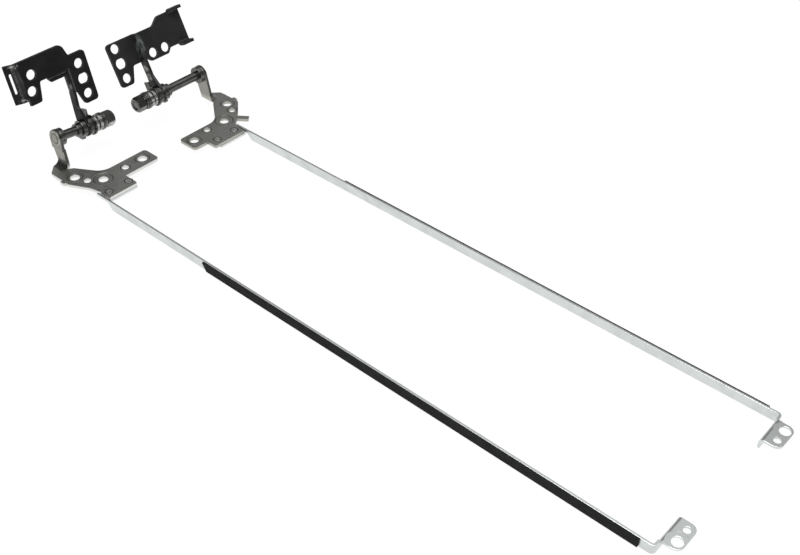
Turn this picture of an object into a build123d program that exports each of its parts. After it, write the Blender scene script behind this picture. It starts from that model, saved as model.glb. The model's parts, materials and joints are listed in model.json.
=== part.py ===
from build123d import *
import os
from dataclasses import dataclass
from math import cos, radians, sin

# A pair of laptop screen hinges, each with the long side rail of the screen panel.
# Millimetres, +Z up. The rails lie along +Y on the table, the right hinge is on +X.
# u is measured across, from a rail's outer face towards the other hinge.
# v is measured along +Y from the hinge axis. s runs along the shaft from the lid arm's outer face.
# d is measured across from the base arm's fold, t up the base plate and n out of its front.
# The right shaft dips inward by its tilt, because its lid arm is bent at the eye.

# Layout of the pair
rail_span = 55.1
left_lead = 2.7
right_rail_x = 30.45
right_axis_y = -107.67
axis_height = 11.8
right_lean = 14.0
left_lean = 25.0
right_tilt = 5.5
left_tilt = 0.0
right_rise = 0.4
left_rise = 0.0

# Sheets, folds and fits
lid_sheet = 1.0
base_sheet = 1.0
rail_sheet = 0.65
bend_radius = 0.5
running_clearance = 0.05
face_clearance = 0.08
fixed_clearance = 0.02

# Side rail
rail_height = 3.0
rail_tail = 21.3
rail_taper = 2.4
rail_corner = 0.3
rail_end = 217.4
tab_reach = 11.6
tab_overhang = 0.1
rivet_radius = 1.12
rivet_gap = 0.14
rivet_setback = 2.75
rivet_outer_u = 3.2
rivet_pitch = 7.4

# Foot at the far end of the rail
foot_start = 2.4
foot_reach = 11.1
foot_depth = 4.8
foot_corner = 2.0
foot_hole_radius = 1.5
foot_hole_u = 4.7
foot_pin_radius = 1.0
foot_pin_u = 8.75
foot_hole_v = 2.9
foot_seat_radius = 2.9

# Foam gasket on the rail's outer face
gasket_thickness = 0.65
gasket_height = 2.6
gasket_start = 70.0
gasket_setback = 3.8
gasket_slant = 1.6

# Lid bracket
arm_eye_radius = 2.85
arm_kink = 3.0
arm_kink_lap = 0.6
arm_rear = -0.5
lug_width = 5.2
lug_corner = 3.0
lug_front = 11.2
pad_front = 26.2
corner_radius = 0.7
tip_radius = 1.2
root_radius = 5.0
screw_radius = 1.5
collar_seat_radius = 3.45
seat_depth = 0.14
pin_radius = 1.12
lug_screw_u = 1.6
lug_screw_v = 9.7
lug_pin_v = 13.9
mid_screw_v = 16.8
stub_width = 1.8
stub_out = 0.8

right_arm_u = 2.3
right_arm_front = 4.0
right_waist = (0.4, 17.9)
right_shoulder = (1.15, 21.5)
right_pad_outer = 1.4
right_pad_inner = 11.9
right_tongue_tip = 25.1
right_tongue_front = 20.5
right_tongue_rear = 13.4
right_root_u = 8.6
right_mid_screw_u = 6.1
right_tongue_pin_u = 14.6
right_tip_screw_u = 21.2

left_arm_u = -4.6
left_arm_front = 4.6
left_waist = (-4.9, 16.5)
left_shoulder = (0.7, 21.4)
left_pad_outer = 1.6
left_pad_inner = 13.7
left_tongue_tip = 19.1
left_tongue_front = 22.3
left_tongue_rear = 14.6
left_root_u = 3.6
left_mid_screw_u = 1.6
left_tongue_pin_u = 9.1
left_tip_screw_u = 16.0

# Diagonal locating tab of the left lid bracket
locator_length = 4.6
locator_width = 1.9
locator_centre = (-3.7, 19.7)
locator_turn = 127.0

# Shaft and the friction stack on it
shaft_radius = 1.3
neck_radius = 1.5
key_across = 2.0
stake_radius = 2.0
flange_radius = 2.8
flange_length = 1.5
collar_radius = 2.1
collar_length = 1.5
stop_radius = 2.75
stop_thickness = 1.5
stop_lug_width = 2.0
stop_lug_reach = 3.4
eye_radius = 3.0
eye_neck = 6.5
eye_fillet = 3.0
eye_tangent = 40.0
friction_radius = 2.9
friction_thickness = 1.5
hook_radius = 3.3
hook_thickness = 0.6
hook_width = 2.6
hook_reach = 5.0
spring_radius = 2.7
spring_sheet = 1.0
spring_cone = 0.3
spring_count = 2
pressure_radius = 2.85
pressure_thickness = 1.0
nut_across = 4.5
nut_length = 4.0
nut_collar_radius = 2.6
nut_collar_length = 0.8
shaft_recess = 0.3

# Base brackets
plate_corner = 1.2
plate_notch = 0.8
slope_radius = 2.0
base_hole_radius = 1.55
base_hole_pitch = 4.95
locating_radius = 1.85
locating_across = 3.2

# Right base bracket
right_base_u = 13.98
right_face = 0.8
right_arm_depth = 2.6
right_top = 26.2
right_step = 22.1
right_near = 8.0
right_foot = 5.7
right_far = 16.2
right_far_foot = 12.3
right_arch = 16.3
right_slot = 10.4
right_slope_top = 1.0
right_slope_foot = 2.3
right_ear_inner = 2.9
right_ear_outer = 10.7
arch_far = 7.0
arch_slant = 1.6
arch_notch = 9.4
arch_rise = 2.0
arch_setback = 0.8
arch_radius = 0.7
flange_turn = 2.2
flange_reach = 2.8
flange_bend = 35.0
flange_foot = 14.0
flange_slot_length = 6.6
flange_slot_t = 20.4
flange_slot_width = 0.9
right_column_d = 4.9
right_column_t = 18.5
right_far_hole = (-11.4, 21.2)
right_low_hole = (-12.8, 16.4)

# Left base bracket
left_base_u = 12.98
left_face = -0.2
left_joggle = 2.0
left_top = 20.6
left_far_top = 22.9
left_near = 11.3
left_foot = 6.2
left_far = 17.9
left_far_foot = 12.0
left_ear_foot = 10.5
left_slot = 11.4
left_slope_foot = 6.3
left_slope_top = 9.2
left_ear_near = 1.7
left_ear_far = 8.6
left_ear_root = 10.0
left_tongue_inner = 6.6
left_tongue_slot = 4.4
lip_top = 23.7
lip_foot = 11.1
lip_depth = 2.4
lip_length = 4.3
left_column_d = 8.35
left_column_t = 18.55
left_ear_t = 12.85
left_ear_d = 3.1

lid_top = rail_height
tab_top = lid_top - lid_sheet
tab_front = pad_front + tab_overhang
fold = bend_radius + lid_sheet


@dataclass(frozen=True)
class Hinge:
    """The places of one hinge: which way is inward, and where its rail and axis are."""

    name: str
    inward: int
    rail_x: float
    axis_y: float
    arm_u: float
    arm_front: float
    base_u: float
    joint_t: float
    lean: float
    tilt: float
    rise: float
    waist: tuple
    shoulder: tuple
    pad_outer: float
    pad_inner: float
    tongue_tip: float
    tongue_front: float
    tongue_rear: float
    root_u: float
    mid_screw_u: float
    tongue_pin_u: float
    tip_screw_u: float

    def x(self, u):
        return self.rail_x + self.inward * u

    def at(self, u, v):
        return (self.x(u), self.axis_y + v)

    def points(self, *pairs):
        return [self.at(u, v) for u, v in pairs]

    @property
    def out(self):
        """Unit vector out of the base plate's front face."""
        return (0, cos(radians(self.lean)), sin(radians(self.lean)))

    @property
    def up(self):
        """Unit vector up the base plate, away from the hinge axis."""
        return (0, -sin(radians(self.lean)), cos(radians(self.lean)))

    @property
    def along(self):
        """Unit vector along the shaft, inward."""
        return (self.inward * cos(radians(self.tilt)), 0, -sin(radians(self.tilt)))

    @property
    def turn_axis(self):
        """Unit vector along the shaft, towards +X."""
        return tuple(self.inward * c for c in self.along)

    @property
    def tilted_out(self):
        """Unit vector out of the base plate's front face, turned with the shaft's tilt."""
        x, y, z = self.out
        return (self.inward * z * sin(radians(self.tilt)), y, z * cos(radians(self.tilt)))

    @property
    def plate_point(self):
        """Where d, t and n start: at the base arm's fold, level with the axis."""
        return Vector(self.x(self.base_u), self.axis_y, axis_height)

    @property
    def eye_s(self):
        """Outer face of the base arm's eye, along the shaft, so that the arm meets the plate's fold."""
        joint = self.plate_point + Vector(self.up) * self.joint_t
        return (joint - self.axis_point(0)).dot(Vector(self.along))

    @property
    def neck(self):
        """Length of the shaft between its flange and its collar."""
        return self.eye_s - face_clearance - stop_thickness - collar_length - flange_length - lid_sheet

    @property
    def stack_s(self):
        """Start of the springs beyond the base arm, along the shaft."""
        return self.eye_s + base_sheet + friction_thickness + hook_thickness + face_clearance

    @property
    def nut_s(self):
        """Start of the nut, along the shaft."""
        springs = spring_count * (spring_sheet + spring_cone)
        return self.stack_s + springs + pressure_thickness

    def axis_point(self, s):
        start = Vector(self.x(self.arm_u), self.axis_y, axis_height + self.rise)
        return start + Vector(self.along) * s

    def turning(self):
        """Plane through the axis: local x along the shaft, local y outwards from it."""
        return Plane(self.axis_point(0), x_dir=self.along, z_dir=(0, -self.inward, 0))

    def section(self, s):
        """Plane across the shaft: local x along +Y, local y up."""
        return Plane(self.axis_point(s), x_dir=(0, 1, 0), z_dir=self.turn_axis)

    def leaning_section(self, s):
        """Plane across the shaft in the base bracket's lean: local x is n, local y is t."""
        return Plane(self.axis_point(s), x_dir=self.tilted_out, z_dir=self.turn_axis)

    def plate_section(self, d):
        """Plane across the base plate at a distance from its fold: local x is n, local y is t."""
        return Plane(self.plate_point + Vector(self.inward * d, 0, 0), x_dir=self.out, z_dir=(1, 0, 0))

    def plate_level(self, t):
        """Plane square to the base plate at a height on it: local x is world X, local y is n."""
        return Plane(self.plate_point + Vector(self.up) * t, x_dir=(1, 0, 0), z_dir=self.up)

    def base_plane(self, behind):
        """Plane of the base plate, a distance behind the axis: local x is world X from the fold."""
        back = tuple(-c for c in self.out)
        return Plane(self.plate_point, x_dir=(1, 0, 0), z_dir=back).offset(behind)

    def base_points(self, *pairs):
        return [(self.inward * d, t) for d, t in pairs]


right = Hinge(
    name="right", inward=-1, rail_x=right_rail_x, axis_y=right_axis_y, arm_u=right_arm_u,
    arm_front=right_arm_front, base_u=right_base_u, joint_t=right_slot, lean=right_lean,
    tilt=right_tilt, rise=right_rise, waist=right_waist, shoulder=right_shoulder,
    pad_outer=right_pad_outer, pad_inner=right_pad_inner, tongue_tip=right_tongue_tip,
    tongue_front=right_tongue_front, tongue_rear=right_tongue_rear, root_u=right_root_u,
    mid_screw_u=right_mid_screw_u, tongue_pin_u=right_tongue_pin_u, tip_screw_u=right_tip_screw_u)
left = Hinge(
    name="left", inward=1, rail_x=right_rail_x - rail_span, axis_y=right_axis_y + left_lead,
    arm_u=left_arm_u, arm_front=left_arm_front, base_u=left_base_u, joint_t=left_slot, lean=left_lean,
    tilt=left_tilt, rise=left_rise, waist=left_waist, shoulder=left_shoulder,
    pad_outer=left_pad_outer, pad_inner=left_pad_inner, tongue_tip=left_tongue_tip,
    tongue_front=left_tongue_front, tongue_rear=left_tongue_rear, root_u=left_root_u,
    mid_screw_u=left_mid_screw_u, tongue_pin_u=left_tongue_pin_u, tip_screw_u=left_tip_screw_u)


def quarter_bend(centre, sheet, side_x, side_y):
    """Sketch one folded corner: a quarter ring about centre, on the sides given by two signs."""
    with BuildSketch(mode=Mode.PRIVATE) as ring:
        with Locations(centre):
            Circle(bend_radius + sheet)
            Circle(bend_radius, mode=Mode.SUBTRACT)
            Rectangle(
                bend_radius + sheet, bend_radius + sheet, mode=Mode.INTERSECT,
                align=(Align.MIN if side_x > 0 else Align.MAX, Align.MIN if side_y > 0 else Align.MAX))
    add(ring.sketch)


def keyed_hole(grow):
    """Sketch the two-flat section that keys a washer to the shaft."""
    with BuildSketch(mode=Mode.PRIVATE) as key:
        Circle(shaft_radius + grow)
        Rectangle(2 * (shaft_radius + grow), key_across + 2 * grow, mode=Mode.INTERSECT)
    add(key.sketch, mode=Mode.SUBTRACT)


def double_flat(centre):
    """Sketch the locating hole of a base bracket: a circle with two flats."""
    with BuildSketch(mode=Mode.PRIVATE) as hole:
        with Locations(centre):
            Circle(locating_radius)
            Rectangle(2 * locating_radius, locating_across, mode=Mode.INTERSECT)
    add(hole.sketch)


def make_lid_bracket(h):
    """Flat plate with a tongue and a pad, and an arm folded up to the hinge axis."""
    foot_u = h.arm_u - bend_radius
    fold_t = lid_top + bend_radius - axis_height - h.rise
    rivets = h.points((rivet_outer_u, pad_front - rivet_setback),
                      (rivet_outer_u + rivet_pitch, pad_front - rivet_setback))
    lug_screw = h.at(h.arm_u - lug_screw_u, lug_screw_v)
    mid_screw = h.at(h.mid_screw_u, mid_screw_v)
    tip_screw = h.at(h.tip_screw_u, (h.tongue_front + h.tongue_rear) / 2)
    lug_out = h.arm_u - lug_width
    outline = h.points(
        (foot_u, arm_rear),
        (lug_out + lug_corner, arm_rear),
        (lug_out, arm_rear + lug_corner),
        (lug_out, lug_front),
        h.waist,
        h.shoulder,
        (h.pad_outer, pad_front),
        (h.pad_inner, pad_front),
        (h.pad_inner, h.tongue_front),
        (h.tongue_tip, h.tongue_front),
        (h.tongue_tip, h.tongue_rear),
        (h.root_u, h.tongue_rear),
        (h.arm_u + fold, h.arm_front + fold),
        (foot_u, h.arm_front))
    radii = [0, tip_radius, tip_radius, tip_radius, tip_radius, tip_radius, 0,
             corner_radius, 0, tip_radius, tip_radius, root_radius, 0, 0]
    with BuildPart() as bracket:
        with BuildSketch(Plane.XY.offset(tab_top)):
            with BuildLine():
                FilletPolyline(*outline, radius=radii, close=True)
            make_face()
            if h is left:
                with Locations(h.at(*locator_centre)):
                    Rectangle(locator_length, locator_width, rotation=locator_turn)
        extrude(amount=lid_sheet)
        fold_start = Plane((0, h.axis_y + arm_rear, 0), x_dir=(1, 0, 0), z_dir=(0, -1, 0))
        with BuildSketch(fold_start):
            quarter_bend((h.x(foot_u), lid_top + bend_radius), lid_sheet, h.inward, -1)
        extrude(amount=arm_rear - h.arm_front)
        upright = Plane(h.axis_point(0), x_dir=(0, 1, 0), z_dir=(1, 0, 0))
        for plane, low, high in ((upright, fold_t, -arm_kink),
                                 (h.section(0), -arm_kink - arm_kink_lap, arm_eye_radius)):
            with BuildSketch(plane):
                with BuildLine():
                    Polyline((arm_rear, fold_t), (h.arm_front, fold_t))
                with BuildLine():
                    CenterArc((0, 0), arm_eye_radius, 0, 360)
                make_hull()
                Circle(stake_radius + fixed_clearance, mode=Mode.SUBTRACT)
                with Locations((0, (low + high) / 2)):
                    Rectangle(2 * axis_height, high - low, mode=Mode.INTERSECT)
            extrude(amount=h.inward * lid_sheet)
        with BuildSketch(Plane.XY.offset(lid_top)):
            with Locations(lug_screw, tip_screw, mid_screw):
                Circle(screw_radius)
            with Locations(h.at(h.arm_u, lug_pin_v), h.at(h.tongue_pin_u, mid_screw_v)):
                Circle(pin_radius)
            with Locations(*rivets):
                Circle(rivet_radius + rivet_gap)
        extrude(amount=-lid_sheet, mode=Mode.SUBTRACT)
        with BuildSketch(Plane.XY.offset(lid_top)):
            with Locations(mid_screw):
                Circle(collar_seat_radius)
        extrude(amount=-seat_depth, mode=Mode.SUBTRACT)
        stub = Plane.XY.offset(lid_top)
        with BuildSketch(stub):
            with Locations(h.at(lug_out - stub_out, lug_front - tip_radius)):
                Rectangle(
                    stub_out + tip_radius, stub_width,
                    align=(Align.MAX if h.inward < 0 else Align.MIN, Align.MAX))
        extrude(amount=-lid_sheet)
    return bracket.part


def make_rail(h):
    """Strip on edge: riveted tab at the tail, turned-in end with a flat foot."""
    wall_end = rail_end - rail_sheet - bend_radius
    fold_z = tab_top + bend_radius
    drop = bend_radius + rail_sheet
    foot_under = rail_height - drop
    face = Plane((h.x(0), h.axis_y, 0), x_dir=(0, 1, 0), z_dir=(1, 0, 0))
    with BuildPart() as rail:
        with BuildSketch(face):
            with BuildLine():
                FilletPolyline(
                    (rail_tail, fold_z),
                    (rail_tail, rail_height),
                    (wall_end, rail_height),
                    (wall_end, 0),
                    (tab_front + rail_taper, 0),
                    (tab_front, fold_z),
                    radius=[0, rail_corner, 0, 0, 0, 0], close=True)
            make_face()
        extrude(amount=h.inward * rail_sheet)
        with BuildSketch(Plane((0, h.axis_y + rail_tail, 0), x_dir=(1, 0, 0), z_dir=(0, -1, 0))):
            quarter_bend((h.x(drop), fold_z), rail_sheet, -h.inward, -1)
        extrude(amount=rail_tail - tab_front)
        with BuildSketch(Plane.XY.offset(tab_top - rail_sheet)):
            with Locations(h.at((drop + tab_reach) / 2, (rail_tail + tab_front) / 2)):
                Rectangle(tab_reach - drop, tab_front - rail_tail)
        extrude(amount=rail_sheet)
        with BuildSketch(Plane.XY.offset(tab_top)):
            with Locations(*h.points((rivet_outer_u, pad_front - rivet_setback),
                                     (rivet_outer_u + rivet_pitch, pad_front - rivet_setback))):
                Circle(rivet_radius)
        extrude(amount=lid_sheet)
        with BuildSketch(Plane.XY):
            quarter_bend(h.at(drop, wall_end), rail_sheet, -h.inward, 1)
            with Locations(h.at((drop + foot_start) / 2, rail_end - rail_sheet / 2)):
                Rectangle(foot_start - drop, rail_sheet)
        extrude(amount=rail_height)
        with BuildSketch(Plane.XY):
            with Locations(h.at((foot_start + foot_reach) / 2, rail_end - rail_sheet / 2)):
                Rectangle(foot_reach - foot_start, rail_sheet)
        extrude(amount=foot_under)
        end_plane = Plane(
            (h.x(foot_start), h.axis_y + rail_end, 0), x_dir=(0, 1, 0), z_dir=(1, 0, 0))
        with BuildSketch(end_plane):
            quarter_bend((bend_radius, foot_under), rail_sheet, -1, 1)
        extrude(amount=h.inward * (foot_reach - foot_start))
        with BuildSketch(Plane.XY.offset(rail_height)):
            with BuildLine():
                FilletPolyline(
                    *h.points(
                        (foot_start, rail_end + bend_radius),
                        (foot_start, rail_end + foot_depth),
                        (foot_reach, rail_end + foot_depth),
                        (foot_reach, rail_end + bend_radius)),
                    radius=[0, foot_corner, foot_corner, 0], close=True)
            make_face()
            with Locations(h.at(foot_hole_u, rail_end + foot_hole_v)):
                Circle(foot_hole_radius, mode=Mode.SUBTRACT)
            with Locations(h.at(foot_pin_u, rail_end + foot_hole_v)):
                Circle(foot_pin_radius, mode=Mode.SUBTRACT)
        extrude(amount=-rail_sheet)
        with BuildSketch(Plane.XY.offset(rail_height)):
            with Locations(h.at(foot_hole_u, rail_end + foot_hole_v)):
                Circle(foot_seat_radius)
        extrude(amount=-seat_depth, mode=Mode.SUBTRACT)
    return rail.part


def make_gasket(h):
    """Strip of foam on the rail's outer face, cut slanted at the hinge and square at the far end."""
    low = (rail_height - gasket_height) / 2
    high = low + gasket_height
    face = Plane((h.x(0), h.axis_y, 0), x_dir=(0, 1, 0), z_dir=(1, 0, 0))
    with BuildPart() as gasket:
        with BuildSketch(face):
            with BuildLine():
                Polyline(
                    (gasket_start, high),
                    (rail_end - gasket_setback, high),
                    (rail_end - gasket_setback, low),
                    (gasket_start + gasket_slant, low),
                    close=True)
            make_face()
        extrude(amount=-h.inward * gasket_thickness)
    return gasket.part


def make_shaft(h):
    """Turned shaft: staked end, flange, neck and collar, then two flats to the threaded end."""
    collar_s = lid_sheet + flange_length + h.neck
    journal_s = collar_s + collar_length
    end_s = h.nut_s + nut_length - shaft_recess
    with BuildPart() as shaft:
        with BuildSketch(h.turning()):
            with BuildLine():
                Polyline(
                    (0, 0),
                    (0, stake_radius),
                    (lid_sheet, stake_radius),
                    (lid_sheet, flange_radius),
                    (lid_sheet + flange_length, flange_radius),
                    (lid_sheet + flange_length, neck_radius),
                    (collar_s, neck_radius),
                    (collar_s, collar_radius),
                    (journal_s, collar_radius),
                    (journal_s, shaft_radius),
                    (end_s, shaft_radius),
                    (end_s, 0),
                    close=True)
            make_face()
        revolve(axis=Axis(h.axis_point(0), h.turn_axis))
        with BuildSketch(h.section(journal_s)):
            Circle(shaft_radius)
            Rectangle(2 * shaft_radius, key_across, mode=Mode.SUBTRACT)
        extrude(amount=h.inward * (end_s - journal_s), mode=Mode.SUBTRACT)
    return shaft.part


def make_stop_washer(h):
    """Washer keyed to the shaft, with the lug that stops the lid."""
    with BuildPart() as washer:
        with BuildSketch(h.section(h.eye_s - face_clearance - stop_thickness)):
            Circle(stop_radius)
            with Locations((0, -stop_lug_reach / 2)):
                Rectangle(stop_lug_width, stop_lug_reach)
            keyed_hole(fixed_clearance)
        extrude(amount=h.inward * stop_thickness)
    return washer.part


def make_friction_washer(h):
    """Thick plain washer on the inner face of the base arm's eye."""
    with BuildPart() as washer:
        with BuildSketch(h.section(h.eye_s + base_sheet)):
            Circle(friction_radius)
            Circle(shaft_radius + running_clearance, mode=Mode.SUBTRACT)
        extrude(amount=h.inward * friction_thickness)
    return washer.part


def make_hook_washer(h, arm_front_n):
    """Washer behind the friction washer, with a tab along the arm that stops it turning."""
    with BuildPart() as washer:
        with BuildSketch(h.leaning_section(h.eye_s + base_sheet + friction_thickness)):
            Circle(hook_radius)
            with Locations((arm_front_n - hook_width / 2, hook_reach / 2)):
                Rectangle(hook_width, hook_reach)
            Circle(shaft_radius + running_clearance, mode=Mode.SUBTRACT)
        extrude(amount=h.inward * hook_thickness)
    return washer.part


def make_spring_washers(h):
    """Disc springs, stacked face to face and back to back."""
    bore = shaft_radius + fixed_clearance
    with BuildPart() as springs:
        for index in range(spring_count):
            near = h.stack_s + index * (spring_sheet + spring_cone)
            inner, outer = (0, spring_cone) if index % 2 else (spring_cone, 0)
            with BuildSketch(h.turning()):
                with BuildLine():
                    Polyline(
                        (near + inner, bore),
                        (near + outer, spring_radius),
                        (near + outer + spring_sheet, spring_radius),
                        (near + inner + spring_sheet, bore),
                        close=True)
                make_face()
            revolve(axis=Axis(h.axis_point(0), h.turn_axis))
    return springs.part


def make_pressure_washer(h):
    """Flat washer keyed to the shaft, between the disc springs and the nut."""
    with BuildPart() as washer:
        with BuildSketch(h.section(h.nut_s - pressure_thickness)):
            Circle(pressure_radius)
            keyed_hole(fixed_clearance)
        extrude(amount=h.inward * pressure_thickness)
    return washer.part


def make_nut(h):
    """Hexagon nut with a round collar towards the washers."""
    with BuildPart() as nut:
        with BuildSketch(h.section(h.nut_s)):
            RegularPolygon(nut_across / 2, 6, major_radius=False)
        extrude(amount=h.inward * nut_length)
        with BuildSketch(h.section(h.nut_s)):
            Circle(nut_collar_radius)
        extrude(amount=h.inward * nut_collar_length)
        with BuildSketch(h.section(h.nut_s)):
            Circle(shaft_radius + fixed_clearance)
        extrude(amount=h.inward * nut_length, mode=Mode.SUBTRACT)
    return nut.part


def arm_profile(rear_n, front_n, top_t):
    """Sketch the base arm: an eye on the axis and a strip that curves back from it up to the plate."""
    with BuildSketch(mode=Mode.PRIVATE) as profile:
        with BuildLine():
            FilletPolyline(
                (0, 0),
                (-eye_radius, 0),
                (rear_n, eye_neck),
                (rear_n, top_t),
                (front_n, top_t),
                (front_n, eye_neck),
                (eye_radius * cos(radians(eye_tangent)), eye_radius * sin(radians(eye_tangent))),
                radius=[0, 0, eye_fillet, 0, 0, eye_fillet, 0], close=True)
        make_face()
        Circle(eye_radius)
        Circle(shaft_radius + running_clearance, mode=Mode.SUBTRACT)
    add(profile.sketch)


def make_right_base_bracket(h):
    """Plate with two screw ears, a slotted flange folded back and an arm folded back down to the axis."""
    turn = base_sheet + bend_radius
    rim_top = right_arch + arch_rise
    outline = h.base_points(
        (turn - right_far, right_top),
        (right_slope_top, right_top),
        (right_slope_foot, right_step),
        (right_near, right_step),
        (right_near, right_foot),
        (right_ear_inner, right_foot),
        (turn, right_slot),
        (turn, rim_top),
        (-arch_notch, rim_top),
        (-right_ear_outer, right_far_foot),
        (turn - right_far, right_far_foot))
    radii = [0, slope_radius, plate_notch, plate_corner, plate_corner, plate_corner, 0, 0,
             corner_radius, plate_notch, 0]
    holes = h.base_points(
        right_far_hole, right_low_hole,
        (right_column_d, right_column_t),
        (right_column_d, right_column_t - 2 * base_hole_pitch))
    locating = h.base_points((right_column_d, right_column_t - base_hole_pitch))[0]
    with BuildPart() as bracket:
        with BuildSketch(h.base_plane(right_face)):
            with BuildLine():
                FilletPolyline(*outline, radius=radii, close=True)
            make_face()
            with Locations(*holes):
                Circle(base_hole_radius, mode=Mode.SUBTRACT)
        extrude(amount=base_sheet)
        with BuildSketch(h.base_plane(right_face)):
            double_flat(locating)
        extrude(amount=base_sheet, mode=Mode.SUBTRACT)
        middle_n = -right_face - base_sheet / 2
        with BuildSketch(h.plate_level(flange_foot)):
            with BuildLine() as bend:
                FilletPolyline(
                    (h.inward * (turn - right_far), middle_n),
                    (-h.inward * right_far, middle_n),
                    (-h.inward * (right_far + flange_reach * cos(radians(flange_bend))),
                     middle_n - flange_reach * sin(radians(flange_bend))),
                    radius=flange_turn)
            trace(bend.line, base_sheet)
        extrude(amount=right_top - flange_foot)
        with BuildSketch(h.plate_level(right_slot)):
            with BuildLine() as fold_line:
                FilletPolyline(
                    (h.inward * turn, middle_n),
                    (h.inward * base_sheet / 2, middle_n),
                    (h.inward * base_sheet / 2, -right_face - right_arm_depth),
                    radius=turn - base_sheet / 2)
            trace(fold_line.line, base_sheet)
        extrude(amount=rim_top - right_slot)
        with BuildSketch(h.plate_section(0)):
            with BuildLine() as rim_line:
                FilletPolyline(
                    (middle_n, rim_top + base_sheet / 2),
                    (middle_n, rim_top - arch_radius / 2),
                    (middle_n - arch_setback, right_arch + arch_radius),
                    (middle_n - arch_setback, right_arch),
                    radius=arch_radius)
            trace(rim_line.line, base_sheet)
        extrude(amount=-h.inward * arch_far)
        with BuildSketch(h.base_plane(0)):
            with BuildLine():
                Polyline(
                    *h.base_points(
                        (-arch_far, right_arch), (-arch_far, rim_top), (arch_slant - arch_far, right_arch)),
                    close=True)
            make_face()
        extrude(amount=right_top, mode=Mode.SUBTRACT)
        with BuildSketch(h.base_plane(0)):
            slot_d = -right_far - flange_reach * cos(radians(flange_bend)) / 2
            with Locations(*h.base_points((slot_d, flange_slot_t))):
                SlotOverall(flange_slot_length, flange_slot_width, rotation=90)
        extrude(amount=flange_reach, both=True, mode=Mode.SUBTRACT)
        with BuildSketch(h.leaning_section(h.eye_s)):
            arm_profile(-right_face - right_arm_depth, -right_face, right_slot + base_sheet)
        extrude(amount=h.inward * base_sheet)
    return bracket.part


def make_left_base_bracket(h):
    """Plate with two lips and an ear, stepped back to a screw tongue, with an arm on the step."""
    tongue_face = left_face + left_joggle
    tongue_rear = tongue_face + base_sheet
    lip_turn = base_sheet + bend_radius
    main = h.base_points(
        (base_sheet, left_top),
        (-left_slope_foot, left_top),
        (-left_slope_top, left_far_top),
        (lip_length - left_far, left_far_top),
        (lip_length - left_far, lip_top - lip_turn),
        (-left_far, lip_top - lip_turn),
        (-left_far, lip_foot + lip_turn),
        (lip_length - left_far, lip_foot + lip_turn),
        (lip_length - left_far, left_far_foot),
        (-left_ear_root, left_far_foot),
        (-left_ear_far, left_ear_foot),
        (-left_ear_near, left_ear_foot),
        (0, left_far_foot),
        (base_sheet, left_far_foot))
    main_radii = [0, slope_radius, slope_radius, 0, 0, 0, 0, 0, 0,
                  corner_radius, plate_notch, plate_notch, 0, 0]
    tongue = h.base_points(
        (0, left_top),
        (left_near, left_top),
        (left_near, left_foot),
        (left_tongue_inner, left_foot),
        (left_tongue_slot, left_slot),
        (0, left_slot))
    tongue_radii = [0, plate_corner, plate_corner, plate_corner, plate_notch, 0]
    main_holes = h.base_points((-left_ear_d, left_ear_t), (-left_ear_d - base_hole_pitch, left_ear_t))
    tongue_holes = h.base_points(
        (left_column_d, left_column_t), (left_column_d, left_column_t - 2 * base_hole_pitch))
    locating = h.base_points((left_column_d, left_column_t - base_hole_pitch))[0]
    with BuildPart() as bracket:
        with BuildSketch(h.base_plane(left_face)):
            with BuildLine():
                FilletPolyline(*main, radius=main_radii, close=True)
            make_face()
            with Locations(*main_holes):
                Circle(base_hole_radius, mode=Mode.SUBTRACT)
        extrude(amount=base_sheet)
        with BuildSketch(h.base_plane(tongue_face)):
            with BuildLine():
                FilletPolyline(*tongue, radius=tongue_radii, close=True)
            make_face()
            with Locations(*tongue_holes):
                Circle(base_hole_radius, mode=Mode.SUBTRACT)
        extrude(amount=base_sheet)
        with BuildSketch(h.base_plane(tongue_face)):
            double_flat(locating)
        extrude(amount=base_sheet, mode=Mode.SUBTRACT)
        for edge_t, side in ((lip_top, 1), (lip_foot, -1)):
            centre_t = edge_t - side * lip_turn
            with BuildSketch(h.plate_section(-left_far)):
                quarter_bend((bend_radius - left_face, centre_t), base_sheet, -1, side)
                with Locations((bend_radius - left_face, edge_t - side * base_sheet / 2)):
                    Rectangle(lip_depth - bend_radius, base_sheet, align=(Align.MIN, Align.CENTER))
            extrude(amount=h.inward * lip_length)
        with BuildSketch(h.leaning_section(h.eye_s)):
            arm_profile(-tongue_rear, -left_face, left_top)
        extrude(amount=h.inward * base_sheet)
    return bracket.part


os.makedirs("parts", exist_ok=True)
pieces = {}
for hinge in (right, left):
    if hinge is right:
        base_bracket = make_right_base_bracket(hinge)
        arm_front_n = -right_face
    else:
        base_bracket = make_left_base_bracket(hinge)
        arm_front_n = -left_face
    pieces[f"{hinge.name}_base_bracket"] = base_bracket
    pieces[f"{hinge.name}_lid_bracket"] = make_lid_bracket(hinge)
    pieces[f"{hinge.name}_rail"] = make_rail(hinge)
    pieces[f"{hinge.name}_gasket"] = make_gasket(hinge)
    pieces[f"{hinge.name}_shaft"] = make_shaft(hinge)
    pieces[f"{hinge.name}_stop_washer"] = make_stop_washer(hinge)
    pieces[f"{hinge.name}_friction_washer"] = make_friction_washer(hinge)
    pieces[f"{hinge.name}_hook_washer"] = make_hook_washer(hinge, arm_front_n)
    pieces[f"{hinge.name}_spring_washers"] = make_spring_washers(hinge)
    pieces[f"{hinge.name}_pressure_washer"] = make_pressure_washer(hinge)
    pieces[f"{hinge.name}_nut"] = make_nut(hinge)

for label, piece in pieces.items():
    piece.label = label
    export_step(piece, f"parts/{label}.step")
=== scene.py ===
"""A pair of laptop screen hinges with their side rails: finishes, fine detail, light and camera."""
import json
import logging
import math
from dataclasses import dataclass, replace
from enum import Enum
from itertools import chain
from typing import Dict, List, Optional, Sequence, Tuple, Union

import bmesh
import bpy
import numpy as np
from mathutils import Matrix, Vector
from mathutils.kdtree import KDTree


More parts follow.
